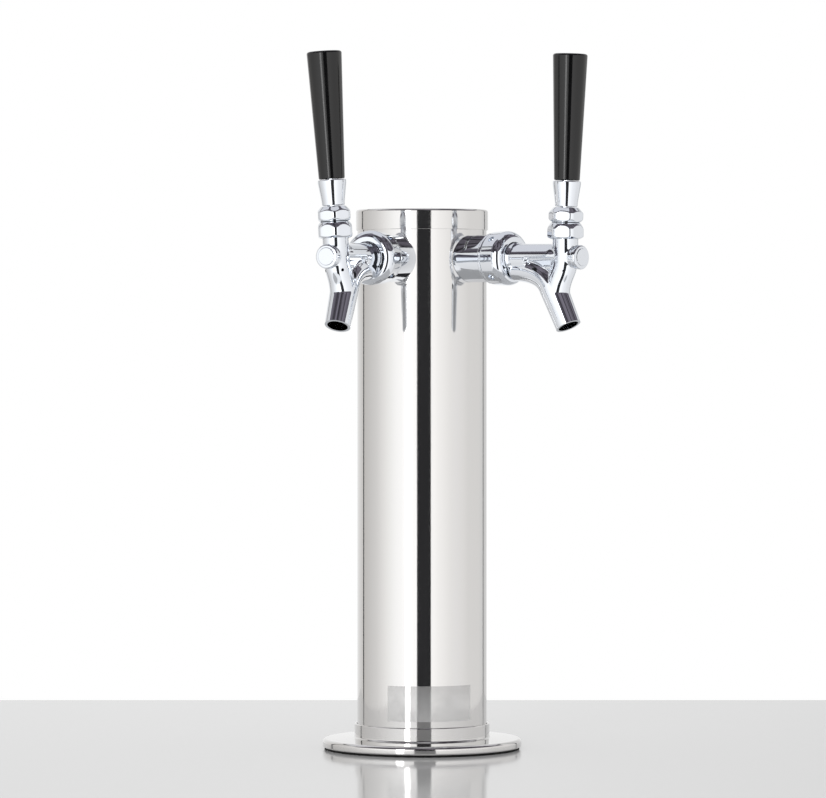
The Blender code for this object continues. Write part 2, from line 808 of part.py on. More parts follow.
def seat_washer(side, parent):
    high = seat_face - gap
    outline = ring_outline(shaft_stem + gap, seat_washer_radius, high - seat_washer_width, high)
    washer = turned("washer", outline, small_sides, along_x=True)
    return finish(washer, f"{side}_seat_washer", "rubber", parent)


def shaft_nut(side, parent):
    high = seat_face - 2 * gap - seat_washer_width
    return plain_nut(
        f"{side}_shaft_nut", shaft_nut_flats, shaft_stem + gap, high - shaft_nut_width, high, "steel", parent
    )


# Head of the tap, in the frame of the lever's ball, which stands on the lever's pivot

def ball_washer(side, parent):
    """The ring that the ball rests on."""
    outline = ring_outline(ball_washer_bore, ball_radius, *ball_washer_levels())
    return finish(turned("washer", outline, small_sides), f"{side}_ball_washer", "nylon", parent)


def ball_washer_levels():
    """The lower and upper faces of the ring under the ball, from the ball's middle."""
    high = -math.sqrt((ball_radius + gap) ** 2 - ball_washer_bore ** 2)
    return high - ball_washer_width, high


def friction_levels():
    """The lower and upper faces of the washer that presses on the ball from above."""
    low = math.sqrt((ball_radius + gap) ** 2 - friction_washer_bore ** 2)
    return low, low + friction_washer_width


def friction_washer(side, parent):
    low, high = friction_levels()
    outline = ring_outline(friction_washer_bore, head_radius, low, high)
    return finish(turned("washer", outline, small_sides), f"{side}_friction_washer", "nylon", parent)


def bonnet(side, parent):
    """A six-sided cap nut, its top turned to a sphere round the ball so that the lever's collar clears it."""
    foot = bonnet_bottom - pivot_height
    thread = head_radius + gap
    ledge = friction_levels()[1] + gap
    mouth = collar_nut_foot - bonnet_ring_width
    top = math.sqrt(bonnet_sphere ** 2 - mouth ** 2)
    turn_start = math.acos(bonnet_corner / bonnet_sphere)
    turn_end = math.asin(top / bonnet_sphere)
    outline = [(0, foot), (bonnet_foot_radius, foot), (bonnet_corner, foot + bonnet_foot_rise)]
    outline += arc((0, 0), bonnet_sphere, turn_start, turn_end, 3)
    outline += [(0, top)]
    hollow = turned(
        "hollow",
        [
            (0, foot - overrun), (thread, foot - overrun), (thread, ledge), (friction_washer_bore, ledge),
            (mouth, top), (mouth, top + overrun), (0, top + overrun),
        ],
        small_sides,
    )
    bar = hexagon("bar", bonnet_corner + gap, foot - overrun, top + overrun)
    nut = shaped(bar, keeps=[turned("dome", outline)], cuts=[hollow])
    return finish(nut, f"{side}_bonnet", "chrome", parent)


# Lever and handle

def lever(side, parent):
    """Turned in one: tip, neck, ball, upper neck and the threaded stud that carries the handle."""
    outline = [(0, -tip_arm - tip_radius)]
    outline += arc((0, -tip_arm), tip_radius, math.radians(-90), math.acos(tip_neck / tip_radius), 3)[1:]
    low_turn = math.acos(tip_neck / ball_radius)
    high_turn = math.acos(lever_neck / ball_radius)
    outline += arc((0, 0), ball_radius, -low_turn, high_turn, 5)
    step = collar_floor(stud_radius)
    outline += [(lever_neck, step), (stud_radius, step), (stud_radius, stud_top - stud_chamfer)]
    outline += [(stud_radius - stud_chamfer, stud_top), (0, stud_top)]
    return finish(turned("lever", outline, small_sides), f"{side}_lever", "chrome", parent)


def collar_floor(radius):
    """Height of the collar nut's hollow underside, a sphere round the ball, at a radius."""
    return math.sqrt(collar_sphere ** 2 - radius ** 2)


def lever_collar(side, parent):
    """A six-sided collar nut, hollowed beneath to ride over the bonnet."""
    foot = collar_floor(collar_nut_foot)
    outline = [(0, foot), (collar_nut_foot, foot)]
    outline += [(collar_nut_corner, foot + collar_nut_shoulder)]
    outline += [(collar_nut_corner, collar_nut_top - 2 * collar_nut_shoulder)]
    outline += [(collar_nut_top_radius, collar_nut_top), (0, collar_nut_top)]
    under = turned(
        "under",
        [(0, 0)] + arc((0, 0), collar_sphere, 0, math.radians(90), 7)[:-1] + [(0, collar_sphere)],
        small_sides,
    )
    bore = rod("bore", (0, 0, 0), (0, 0, stud_top), stud_radius + gap, small_sides)
    bar = hexagon("bar", collar_nut_corner + gap, 0, collar_nut_top + overrun)
    collar = shaped(bar, keeps=[turned("corners", outline)], cuts=[under, bore])
    return finish(collar, f"{side}_lever_collar", "chrome", parent)


def handle_ferrule(side, parent):
    low = collar_nut_top + gap
    high = low + ferrule_length
    soft = ferrule_round
    bore = stud_radius + gap
    outline = [(bore, low), (ferrule_bottom_radius - soft, low), (ferrule_bottom_radius, low + soft)]
    outline += [(ferrule_bottom_radius, low + ferrule_band)]
    outline += [(ferrule_top_radius, high - ferrule_band), (ferrule_top_radius, high - soft)]
    outline += [(ferrule_top_radius - soft, high), (bore, high)]
    return finish(turned("ferrule", outline), f"{side}_handle_ferrule", "chrome", parent)


def handle_grip(side, parent):
    """A tapered grip, widest at its top, with a blind hole for the stud."""
    soft, top_soft = grip_bottom_round, grip_top_round
    bore = stud_radius + gap
    outline = [(0, stud_top + gap), (bore, stud_top + gap), (bore, grip_bottom)]
    outline += arc((grip_bottom_radius - soft, grip_bottom + soft), soft, math.radians(-90), 0, 2)
    outline += arc((grip_top_radius - top_soft, grip_top - top_soft), top_soft, 0, math.radians(90), 3)
    outline += [(0, grip_top)]
    return finish(turned("grip", outline), f"{side}_handle_grip", "black_plastic", parent)


# The whole tower

def tap(side, frame):
    """All pieces of one tap, from the elbow inside the column to the grip."""
    shank(side, frame)
    saddle_washer(side, frame)
    bore = shank_stem_radius + gap
    plain_nut(f"{side}_lock_nut", lock_nut_flats, bore, lock_nut_back, lock_nut_front, "steel", frame)
    tail_washer(side, frame)
    tail_nut(side, frame)
    tail_elbow(side, frame)
    coupling_washer(side, frame)
    snap_ring(side, frame)
    coupling_nut(side, frame)
    tap_body(side, frame)
    valve_shaft(side, frame)
    seat_washer(side, frame)
    shaft_nut(side, frame)
    head = empty(f"{side}_head", frame, (lever_reach, 0, pivot_height))
    ball_washer(side, head)
    friction_washer(side, head)
    bonnet(side, head)
    pivot = empty(f"{side}_lever_pivot", head, (0, 0, 0), (0, lever_lean, 0))
    lever(side, pivot)
    lever_collar(side, pivot)
    handle_ferrule(side, pivot)
    handle_grip(side, pivot)


for old in list(bpy.data.objects):
    bpy.data.objects.remove(old)

column_axis = empty("column_axis", None, (column_aside, column_back, 0))
frames = tap_frames(column_axis)
base_gasket(column_axis)
base_flange(column_axis)
column_tube(column_axis, frames)
foam_sleeve(column_axis)
top_cap(column_axis)
for side, frame in frames.items():
    tap(side, frame)
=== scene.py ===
"""Looks for the two-tap beer tower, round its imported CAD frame. Metres, +Z up, -Y towards the pourer."""

import math

import bmesh
import bpy
from mathutils import Matrix, Vector


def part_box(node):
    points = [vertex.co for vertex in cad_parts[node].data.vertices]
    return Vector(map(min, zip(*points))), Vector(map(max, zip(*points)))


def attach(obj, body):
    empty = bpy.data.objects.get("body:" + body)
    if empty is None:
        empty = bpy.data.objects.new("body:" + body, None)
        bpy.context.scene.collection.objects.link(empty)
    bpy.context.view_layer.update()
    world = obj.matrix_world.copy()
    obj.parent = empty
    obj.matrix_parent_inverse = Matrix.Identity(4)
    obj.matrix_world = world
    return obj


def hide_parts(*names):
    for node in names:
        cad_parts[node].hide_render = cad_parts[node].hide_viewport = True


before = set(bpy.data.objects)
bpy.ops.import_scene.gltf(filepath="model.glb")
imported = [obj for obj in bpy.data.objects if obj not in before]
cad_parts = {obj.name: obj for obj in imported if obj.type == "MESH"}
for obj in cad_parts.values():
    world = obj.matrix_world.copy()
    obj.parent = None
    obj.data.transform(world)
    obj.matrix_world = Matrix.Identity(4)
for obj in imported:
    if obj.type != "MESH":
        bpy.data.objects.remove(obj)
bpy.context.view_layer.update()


# Camera
# The photograph was taken level, with a long lens about 2.6 m away and a little to the tower's left.
# The shifts, in pixels of the photograph's width, put the column where the photograph has it.
column_low, column_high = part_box("column_tube")
axis = Vector(((column_low.x + column_high.x) / 2, (column_low.y + column_high.y) / 2, 0))
camera_turn = math.radians(-11.2)
camera_distance = 2.60
eye_height = 0.2457
towards_camera = Vector((math.sin(camera_turn), -math.cos(camera_turn), 0))
photograph_width = 826

camera = bpy.data.objects.new("camera", bpy.data.cameras.new("camera"))
camera.location = axis + towards_camera * camera_distance + Vector((0, 0, eye_height))
camera.rotation_euler = (math.radians(90), 0, camera_turn)
camera.data.sensor_width = 36
camera.data.lens = 192.4
camera.data.shift_x = -9 / photograph_width
camera.data.shift_y = -68 / photograph_width
camera.data.clip_start = 0.05
bpy.context.scene.collection.objects.link(camera)
bpy.context.scene.camera = camera
bpy.context.scene.view_settings.view_transform = "Standard"


# Base gasket
# A thin flat ring of black nitrile rubber, die cut, between the flange and the counter.
# Only its edge shows: matt, with fine talc-like mottling.
def linear(code):
    """A #RRGGBB colour as the linear colour that a shader takes."""
    parts = [int(code[place:place + 2], 16) / 255 for place in (1, 3, 5)]
    return (*[c / 12.92 if c <= 0.04045 else ((c + 0.055) / 1.055) ** 2.4 for c in parts], 1)


def add(owner, kind, sockets, **settings):
    """Adds a node to a material or world. Each socket takes a value, or another node's output as a link."""
    made = owner.node_tree.nodes.new(kind)
    for name, value in settings.items():
        setattr(made, name, value)
    for name, value in sockets.items():
        if isinstance(value, bpy.types.NodeSocket):
            owner.node_tree.links.new(value, made.inputs[name])
        else:
            made.inputs[name].default_value = value
    return made


def new_material(name, colour, metallic, roughness, **more):
    """A Principled material with its plain values on the shader's own sockets."""
    material = bpy.data.materials.new(name)
    material.use_nodes = True
    sockets = material.node_tree.nodes["Principled BSDF"].inputs
    sockets["Base Color"].default_value = linear(colour)
    sockets["Metallic"].default_value = metallic
    sockets["Roughness"].default_value = roughness
    for socket, value in more.items():
        sockets[socket.replace("_", " ")].default_value = value
    return material


def grain(material, size, stretch, roughness, height):
    """Noise of a real size in metres that varies the roughness between two values and raises a fine bump."""
    place = add(material, "ShaderNodeTexCoord", {})
    sized = add(material, "ShaderNodeMapping", {"Vector": place.outputs["Object"], "Scale": stretch})
    noise = add(
        material, "ShaderNodeTexNoise", {"Vector": sized.outputs["Vector"], "Scale": 1 / size, "Detail": 3.0},
    )
    rough = add(
        material, "ShaderNodeMapRange",
        {
            "Value": noise.outputs["Fac"], "From Min": 0.3, "From Max": 0.7,
            "To Min": roughness[0], "To Max": roughness[1],
        },
    )
    bump = add(
        material, "ShaderNodeBump", {"Height": noise.outputs["Fac"], "Distance": height, "Strength": 1.0},
    )
    sockets = material.node_tree.nodes["Principled BSDF"].inputs
    material.node_tree.links.new(rough.outputs["Result"], sockets["Roughness"])
    material.node_tree.links.new(bump.outputs["Normal"], sockets["Normal"])


def dress(material, *nodes):
    """Gives carried-over CAD nodes their material."""
    for name in nodes:
        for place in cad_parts[name].material_slots:
            place.material = material


nitrile = new_material("black_nitrile_rubber", "#191919", 0.0, 0.7, Specular_IOR_Level=0.3)
grain(nitrile, 0.0008, (1, 1, 1), (0.6, 0.85), 0.00002)
dress(nitrile, "base_gasket")


# Base flange
# Spun and machined from stainless steel, then polished bright: a plate with a rounded rim, and a collar.
# The column stands in the collar. Polishing round the axis leaves a mirror that is a little soft in patches.
def rounded(corners, steps=6):
    """An outline of (radius, height, rounding) corners, each rounding drawn as an arc."""
    points = []
    for place, (x, z, soft) in enumerate(corners):
        here = Vector((x, z))
        if soft == 0:
            points.append(here)
            continue
        before = (Vector(corners[place - 1][:2]) - here).normalized()
        after = (Vector(corners[(place + 1) % len(corners)][:2]) - here).normalized()
        half = before.angle(after) / 2
        centre = here + (before + after).normalized() * (soft / math.sin(half))
        start = here + before * (soft / math.tan(half)) - centre
        end = here + after * (soft / math.tan(half)) - centre
        turn = math.atan2(start.x * end.y - start.y * end.x, start.dot(end))
        for step in range(steps + 1):
            points.append(centre + Matrix.Rotation(turn * step / steps, 2) @ start)
    return points


def turned(outline, place, sides, along_x=False):
    """A closed outline of (radius, height) points spun round Z, or round X, and set in its place."""
    bm = bmesh.new()
    points = [bm.verts.new((point[0], 0, point[1])) for point in outline]
    edges = [bm.edges.new(pair) for pair in zip(points, points[1:])]
    if outline[0][0] > 0 or outline[-1][0] > 0:
        edges.append(bm.edges.new((points[-1], points[0])))
    bmesh.ops.spin(
        bm, geom=points + edges, cent=(0, 0, 0), axis=(0, 0, 1), angle=math.tau, steps=sides, use_merge=True
    )
    bmesh.ops.remove_doubles(bm, verts=bm.verts, dist=0.000001)
    bmesh.ops.recalc_face_normals(bm, faces=bm.faces)
    if along_x:
        bmesh.ops.rotate(bm, verts=bm.verts, cent=(0, 0, 0), matrix=Matrix.Rotation(math.radians(90), 3, "Y"))
    bm.transform(place)
    return bm


def blank(name, bm):
    """A bmesh as an object that isn't dressed yet."""
    mesh = bpy.data.meshes.new(name)
    bm.to_mesh(mesh)
    bm.free()
    made = bpy.data.objects.new(name, mesh)
    bpy.context.scene.collection.objects.link(made)
    return made


def piece(name, made, material, body, node):
    """Finishes a blank: smooth but for its sharp edges, its material, its body and the node it stands for."""
    made.name = name
    made.data.name = name
    made.data.shade_smooth()
    made.data.set_sharp_from_angle(angle=math.radians(32))
    even = made.modifiers.new("even_normals", "WEIGHTED_NORMAL")
    even.keep_sharp = True
    made.data.materials.clear()
    made.data.materials.append(material)
    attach(made, body)
    if node:
        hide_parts(node)


standing = Matrix.Translation(axis)
wide_sides = 192
flange_bottom = 0.0011
flange_radius = 0.0586
flange_bore = 0.0330
flange_top = flange_bottom + 0.0050
flange_rise = 0.0008
lower_rim = 0.0010
upper_rim = 0.0022
column_seat = flange_bottom + 0.0024
collar_inner = 0.0384
collar_outer = 0.03975
collar_top = flange_bottom + 0.0140
collar_fillet = 0.0010
collar_edge = 0.0006

turned_steel = new_material("polished_stainless_turned", "#DDDCDB", 1.0, 0.07)
grain(turned_steel, 0.004, (1, 1, 1), (0.05, 0.10), 0.000002)
flange = turned(
    rounded([
        (flange_bore, flange_bottom, 0), (flange_radius, flange_bottom, lower_rim),
        (flange_radius, flange_top, upper_rim), (collar_outer, flange_top + flange_rise, collar_fillet),
        (collar_outer, collar_top, collar_edge), (collar_inner, collar_top, 0.0004),
        (collar_inner, column_seat, 0), (flange_bore, column_seat, 0),
    ]),
    standing, wide_sides,
)
piece("flange", blank("flange", flange), turned_steel, "tower", "base_flange")


# Column
# Three-inch welded stainless tube, polished along a belt to a mirror. Two holes near its top take the shanks.
# The mirror is softer in some upright streaks than in others, from the belt and from wiping.
column_radius = 0.0381
column_inner = 0.0366
column_edge = 0.0003
shank_height = 0.2878
shank_hole_radius = 0.0083
hole_inside = 0.0340
hole_outside = 0.0410
tap_half_angle = math.radians(37.7)
left_tap_roll = math.radians(2.9)
ahead = math.radians(-90)
raised = Matrix.Translation(axis + Vector((0, 0, shank_height)))
tap_places = {
    "left": raised @ Matrix.Rotation(ahead - tap_half_angle, 4, "Z") @ Matrix.Rotation(left_tap_roll, 4, "X"),
    "right": raised @ Matrix.Rotation(ahead + tap_half_angle, 4, "Z"),
}


def rod(start, end, radius, place, sides):
    """A round bar between two points of a frame."""
    line = Vector(end) - Vector(start)
    turn = line.to_track_quat("Z", "Y").to_matrix().to_4x4()
    bm = bmesh.new()
    bmesh.ops.create_cone(
        bm, cap_ends=True, segments=sides, radius1=radius, radius2=radius, depth=line.length,
        matrix=place @ Matrix.Translation((Vector(start) + Vector(end)) / 2) @ turn,
    )
    return bm


def shaped(first, joins=(), keeps=(), cuts=(), voxel=0, rounds=0):
    """The first blank joined to some, kept inside others and cut by the rest, then melted smooth if asked."""
    for operation, tools in (("UNION", joins), ("INTERSECT", keeps), ("DIFFERENCE", cuts)):
        for tool in tools:
            modifier = first.modifiers.new(tool.name, "BOOLEAN")
            modifier.operation = operation
            modifier.object = tool
    if voxel:
        melt = first.modifiers.new("melt", "REMESH")
        melt.mode = "VOXEL"
        melt.voxel_size = voxel
        ease = first.modifiers.new("ease", "SMOOTH")
        ease.factor = 0.5
        ease.iterations = rounds
    bpy.context.view_layer.update()
    result = bpy.data.meshes.new_from_object(first.evaluated_get(bpy.context.evaluated_depsgraph_get()))
    made = bpy.data.objects.new(first.name, result)
    for used in (first, *joins, *keeps, *cuts):
        bpy.data.objects.remove(used)
    bpy.context.scene.collection.objects.link(made)
    return made


tube_steel = new_material("polished_stainless_tube", "#DDDCDB", 1.0, 0.06)
grain(tube_steel, 0.003, (1, 1, 0.04), (0.045, 0.085), 0.000002)
tube = turned(
    rounded([
        (column_inner, column_low.z, 0), (column_radius, column_low.z, column_edge),
        (column_radius, column_high.z, column_edge), (column_inner, column_high.z, 0),
    ], 2),
    standing, wide_sides,
)
holes = [
    blank(f"{side}_hole", rod((hole_inside, 0, 0), (hole_outside, 0, 0), shank_hole_radius, place, 64))
    for side, place in tap_places.items()
]
column = shaped(blank("tube", tube), cuts=holes)
piece("column", column, tube_steel, "tower", "column_tube")


# Insulation sleeve
# Black closed-cell polyethylene foam, a split tube pushed up inside the column round the beer lines.
# Its skin has soft cells about a millimetre across.
foam = new_material("closed_cell_foam", "#2B2B2D", 0.0, 0.9, Specular_IOR_Level=0.2)
grain(foam, 0.0012, (1, 1, 1), (0.8, 1.0), 0.0002)
dress(foam, "insulation_sleeve")


# Top cap
# Deep drawn from thin stainless sheet: a flat disc rolled over into a short skirt that slips over the tube.
# It lifts off. Drawing rounds its upper edge, and the skirt's cut edge shows as a fine step.
cap_low, cap_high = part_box("top_cap")
cap_inner = 0.0384
cap_outer = 0.0389
cap_draw_radius = 0.0015
cap_ceiling = cap_high.z - 0.0012
cap = turned(
    rounded([
        (0, cap_high.z, 0), (cap_outer, cap_high.z, cap_draw_radius), (cap_outer, cap_low.z, 0.0002),
        (cap_inner, cap_low.z, 0), (cap_inner, cap_ceiling, 0.0004), (0, cap_ceiling, 0),
    ]),
    standing, wide_sides,
)
piece("cap", blank("cap", cap), turned_steel, "top_cap", "top_cap")


# Shanks
# Turned from brass bar and chrome plated: a smooth sleeve, a stop ring, and a boss that the nut screws on.
# Bright nickel under the chrome gives a bluish white mirror with a very fine ripple.
chrome = new_material("chrome_plate", "#E6EAF0", 1.0, 0.04)
grain(chrome, 0.006, (1, 1, 1), (0.03, 0.06), 0.000003)
shank_bore = 0.0019
sleeve_start = 0.0330
sleeve_radius = 0.0138
sleeve_reach = 0.0550
stop_ring_radius = 0.0150
stop_ring_end = 0.0570
boss_radius = 0.0121
boss_end = 0.0625
stem_start = 0.0245
stem_radius = 0.0063
stem_shoulder = 0.0272
stem_shoulder_radius = 0.0080
stem_end = 0.0400
saddle_radius = 0.0383
saddle_reach = 0.04
for side, place in tap_places.items():
    sleeve = blank(f"{side}_sleeve", turned(
        rounded([
            (shank_bore, sleeve_start, 0), (sleeve_radius, sleeve_start, 0),
            (sleeve_radius, sleeve_reach, 0.0004), (stop_ring_radius, sleeve_reach, 0.0005),
            (stop_ring_radius, stop_ring_end, 0.0005),
            (boss_radius, stop_ring_end, 0), (boss_radius, boss_end, 0.0003), (shank_bore, boss_end, 0),
        ], 4),
        Matrix(), 128, along_x=True,
    ))
    saddle = rod((0, 0, -saddle_reach), (0, 0, saddle_reach), saddle_radius, Matrix(), wide_sides)
    sleeve = shaped(sleeve, cuts=[blank("saddle", saddle)])
    shank = turned(
        rounded([
            (shank_bore, stem_start, 0), (stem_radius, stem_start, 0.0003), (stem_radius, stem_shoulder, 0),
            (stem_shoulder_radius, stem_shoulder, 0.0003), (stem_shoulder_radius, stem_end, 0),
            (shank_bore, stem_end, 0),
        ], 3),
        Matrix(), 96, along_x=True,
    )
    shank.from_mesh(sleeve.data)
    bpy.data.objects.remove(sleeve)
    shank.transform(place)
    piece(f"{side}_shank_sleeve", blank("shank", shank), chrome, "tower", f"{side}_shank")


# Clamping pieces inside the column
# Nylon saddle and plain steel lock nut hold each shank; a rubber washer and brass nut hold the barbed elbow.
# None shows from outside with the cap on, so the solids stay, with machined finishes that dull their shine.
nylon = new_material("natural_nylon", "#E4E1D6", 0.0, 0.45, Subsurface_Weight=0.1)
grain(nylon, 0.002, (1, 1, 1), (0.38, 0.52), 0.00001)
steel = new_material("machined_steel", "#C4C4C2", 1.0, 0.28)
grain(steel, 0.0006, (1, 1, 1), (0.2, 0.34), 0.000006)
brass = new_material("machined_brass", "#C9A15A", 1.0, 0.28)
grain(brass, 0.0006, (1, 1, 1), (0.22, 0.36), 0.000006)
for side in tap_places:
    dress(nylon, f"{side}_saddle_washer", f"{side}_ball_washer", f"{side}_friction_washer")
    dress(steel, f"{side}_lock_nut", f"{side}_tail_elbow", f"{side}_snap_ring")
    dress(brass, f"{side}_tail_nut")
    dress(nitrile, f"{side}_tail_washer", f"{side}_coupling_washer")


# Coupling nuts
# Round brass nuts, chromed, with a domed front and four holes for a pin spanner.
# Each draws its tap against the shank.
def graded(first, last, steps):
    """Even steps from one value to another, with both ends."""
    return [first + (last - first) * step / steps for step in range(steps + 1)]


nut_radius = 0.0158
nut_rear = 0.0573
nut_front = 0.0712
nut_lip = 0.0686
nut_bore = 0.0094
nut_thread_radius = 0.0124
nut_rear_radius = nut_radius - 0.0003
nut_rear_band = nut_rear + 0.0011
dome_top_radius = 0.0112
dome_height = 0.0052
pin_hole_radius = 0.0020
pin_hole_place = nut_rear + 0.0054
pin_hole_floor = 0.0136
pin_hole_reach = 0.0178
dome = [
    (
        dome_top_radius + (nut_radius - dome_top_radius) * math.cos(turn),
        nut_front - dome_height + dome_height * math.sin(turn), 0,
    )
    for turn in graded(0, math.radians(90), 15)
]
for side, place in tap_places.items():
    nut = blank(f"{side}_nut", turned(
        rounded([
            (nut_thread_radius, nut_rear, 0), (nut_rear_radius, nut_rear, 0.0008),
            (nut_rear_radius, nut_rear_band, 0.0002), *dome, (nut_bore, nut_front, 0.0002),
            (nut_bore, nut_lip, 0), (nut_thread_radius, nut_lip, 0),
        ], 4),
        Matrix(), 160, along_x=True,
    ))
    holes = []
    for degrees in (45, 135, 225, 315):
        out = Vector((0, math.cos(math.radians(degrees)), math.sin(math.radians(degrees))))
        spot = Vector((pin_hole_place, 0, 0))
        pin = rod(spot + out * pin_hole_floor, spot + out * pin_hole_reach, pin_hole_radius, Matrix(), 40)
        holes.append(blank(f"hole_{degrees}", pin))
    nut = shaped(nut, cuts=holes)
    nut.data.transform(place)
    piece(f"{side}_nut_ring", nut, chrome, "tower", f"{side}_coupling_nut")


# Tap bodies
# Each is one brass casting, ground, polished and chromed: barrel with a hollow on both sides, lever head,
# arm, throat and spout, every edge left soft. Its bores, vent holes, lever slot and mouth are machined after.
def arc(radius, start, end, steps):
    """Points of a circle round the middle, between two angles."""
    return [(radius * math.cos(turn), radius * math.sin(turn)) for turn in graded(start, end, steps)]


casting_voxel = 0.00038
casting_rounds = 22
tap_sides = 96
tube_sides = 64
bore_sides = 48

tap_rear = 0.0640
tap_flange_end = 0.0670
tap_flange_radius = 0.0110
tap_neck_radius = 0.0091
tap_shoulder_radius = 0.0084
arm_start = 0.0720
lever_reach = 0.1090
barrel_radius = 0.0080
nose_radius = 0.0070
head_radius = 0.0074
head_top = 0.0122
front_radius = 0.0056
front_start = 0.1053
front_end = 0.1185
barrel_outline = [
    (0, tap_rear), (tap_flange_radius, tap_rear), (tap_flange_radius, tap_flange_end),
    (tap_neck_radius, tap_flange_end), (tap_neck_radius, arm_start),
    (tap_shoulder_radius, arm_start + 0.0010), (barrel_radius, lever_reach - head_radius),
    (nose_radius, lever_reach), (0, lever_reach),
]
head_outline = [*arc(head_radius, math.radians(-90), 0, 12), (head_radius, head_top), (0, head_top)]
front_outline = [(0, front_start), (front_radius, front_start), (front_radius, front_end), (0, front_end)]

spout_angle = math.radians(27)
spout_straight = 0.0250
spout_spare = 0.0030
mouth = Vector((lever_reach + 0.0022, -0.0393))
arm_drop = 0.0062
arm_radius = 0.0072
spout_root_radius = 0.0082
mouth_radius = 0.0073
throat_radius = 0.0073


def up_spout(back):
    """A point on the spout's middle line, as (x, z) in the tap's frame, some length up from its mouth."""
    return mouth + back * Vector((-math.sin(spout_angle), math.cos(spout_angle)))


def bezier(corners, steps):
    """Points of the cubic curve that four corners steer."""
    points = []
    for step in range(steps + 1):
        t = step / steps
        shares = ((1 - t) ** 3, 3 * t * (1 - t) ** 2, 3 * t * t * (1 - t), t ** 3)
        points.append(sum((share * Vector(corner) for share, corner in zip(shares, corners)), Vector((0, 0))))
    return points


def swept(line, radii, sides):
    """Round sections of the given radii along a line of (x, z) points, bridged one to the next."""
    bm = bmesh.new()
    rings = []
    for place, (point, radius) in enumerate(zip(line, radii)):
        before = Vector(line[max(place - 1, 0)])
        after = Vector(line[min(place + 1, len(line) - 1)])
        heading = (after - before).normalized()
        turn = Matrix(((0, heading.y, heading.x), (1, 0, 0), (0, -heading.x, heading.y))).to_4x4()
        turn.translation = (point[0], 0, point[1])
        made = bmesh.ops.create_circle(bm, segments=sides, radius=radius, matrix=turn)
        rings.append({edge for vert in made["verts"] for edge in vert.link_edges})
    for first, second in zip(rings, rings[1:]):
        bmesh.ops.bridge_loops(bm, edges=list(first | second))
    bmesh.ops.contextual_create(bm, geom=list(rings[0]))
    bmesh.ops.contextual_create(bm, geom=list(rings[-1]))
    bmesh.ops.recalc_face_normals(bm, faces=bm.faces)
    return bm


def plate(outline, low, high):
    """An outline of (x, z) points extruded across Y from low to high."""
    bm = bmesh.new()
    face = bm.faces.new([bm.verts.new((point[0], low, point[1])) for point in outline])
    grown = bmesh.ops.extrude_face_region(bm, geom=[face])
    moved = [item for item in grown["geom"] if isinstance(item, bmesh.types.BMVert)]
    bmesh.ops.translate(bm, verts=moved, vec=(0, high - low, 0))
    bmesh.ops.recalc_face_normals(bm, faces=bm.faces)
    return bm


arm_bend = 0.0862
arm_lead = 0.0330
arm = bezier(((arm_start, -arm_drop), (arm_bend, -arm_drop), up_spout(arm_lead), up_spout(spout_straight)), 28)
spout = [up_spout(back) for back in graded(spout_straight, -spout_spare, 8)[1:]]
lower_radii = graded(arm_radius, spout_root_radius, 28) + graded(spout_root_radius, mouth_radius, 8)[1:]
throat_foot = up_spout(0.0185)
throat_drop = 0.0090
throat_lead = 0.0103
throat_steers = (lever_reach, -throat_drop), (throat_foot.x, -throat_lead)
throat = bezier(((lever_reach, 0), *throat_steers, throat_foot), 24)
web = 0.0056
web_relief = 0.0003
web_start = 0.0790
web_foot = up_spout(0.0200)
web_outline = [(web_start, 0), (lever_reach, 0), throat[12], web_foot, *reversed(arm[8:25])]

pocket_back = lever_reach - 0.0244
pocket_front = lever_reach + 0.0020
pocket_floor = -0.0100
pocket_corner = 0.0029
pocket = [
    (pocket_back + pocket_corner * (1 - math.sin(turn)), pocket_corner * (math.cos(turn) - 1))
    for turn in graded(0, math.radians(90), 9)
]
pocket += [(pocket_back, pocket_floor), (pocket_front, pocket_floor), (pocket_front, 0)]

throat_bore = bezier(((lever_reach, -0.0003), *throat_steers, throat_foot), 12)[:-1]
throat_bore_radius = 0.0042
spout_bore = [(0.0163, 0.0049), (0.0083, 0.0056), (-0.0020, 0.0060)]
bore_line = throat_bore + [up_spout(back) for back, radius in spout_bore]
bore_radii = [throat_bore_radius] * len(throat_bore) + [radius for back, radius in spout_bore]
valve_bore_start = 0.0620
washer_bore = 0.0063
washer_bore_end = 0.0764
shaft_bore = 0.0046
shaft_bore_end = 0.1175
valve_outline = [
    (0, valve_bore_start), (washer_bore, valve_bore_start), (washer_bore, washer_bore_end),
    (shaft_bore, washer_bore_end), (shaft_bore, shaft_bore_end), (0, shaft_bore_end),
]
ball_bore = 0.0052
ball_ledge = 0.0079
ball_washer_bore = 0.0058
socket_mouth = 0.0145
socket_outline = [
    (0, 0), (ball_bore, 0), (ball_bore, ball_ledge), (ball_washer_bore, ball_ledge),
    (ball_washer_bore, socket_mouth), (0, socket_mouth),
]
slot_half_width = 0.0025
slot_back = lever_reach - 0.0074
slot_top = 0.0067
tip_slot = [(slot_back, 0), (lever_reach, 0), (lever_reach, slot_top), (slot_back, slot_top)]
vent_radius = 0.0009
vent_degrees = 48
vent_inside = 0.0022
vent_outside = 0.0100
vent_middle = Vector((throat[8].x, 0, -0.0078))
facing_depth = 0.0080
facing_radius = 0.0120
button_face = lever_reach + head_top
button_rear = button_face - 0.0034
button_radius = 0.0070
button_disc_radius = 0.0048
button_disc_foot_radius = 0.0051
button_disc_face = button_face + 0.0004
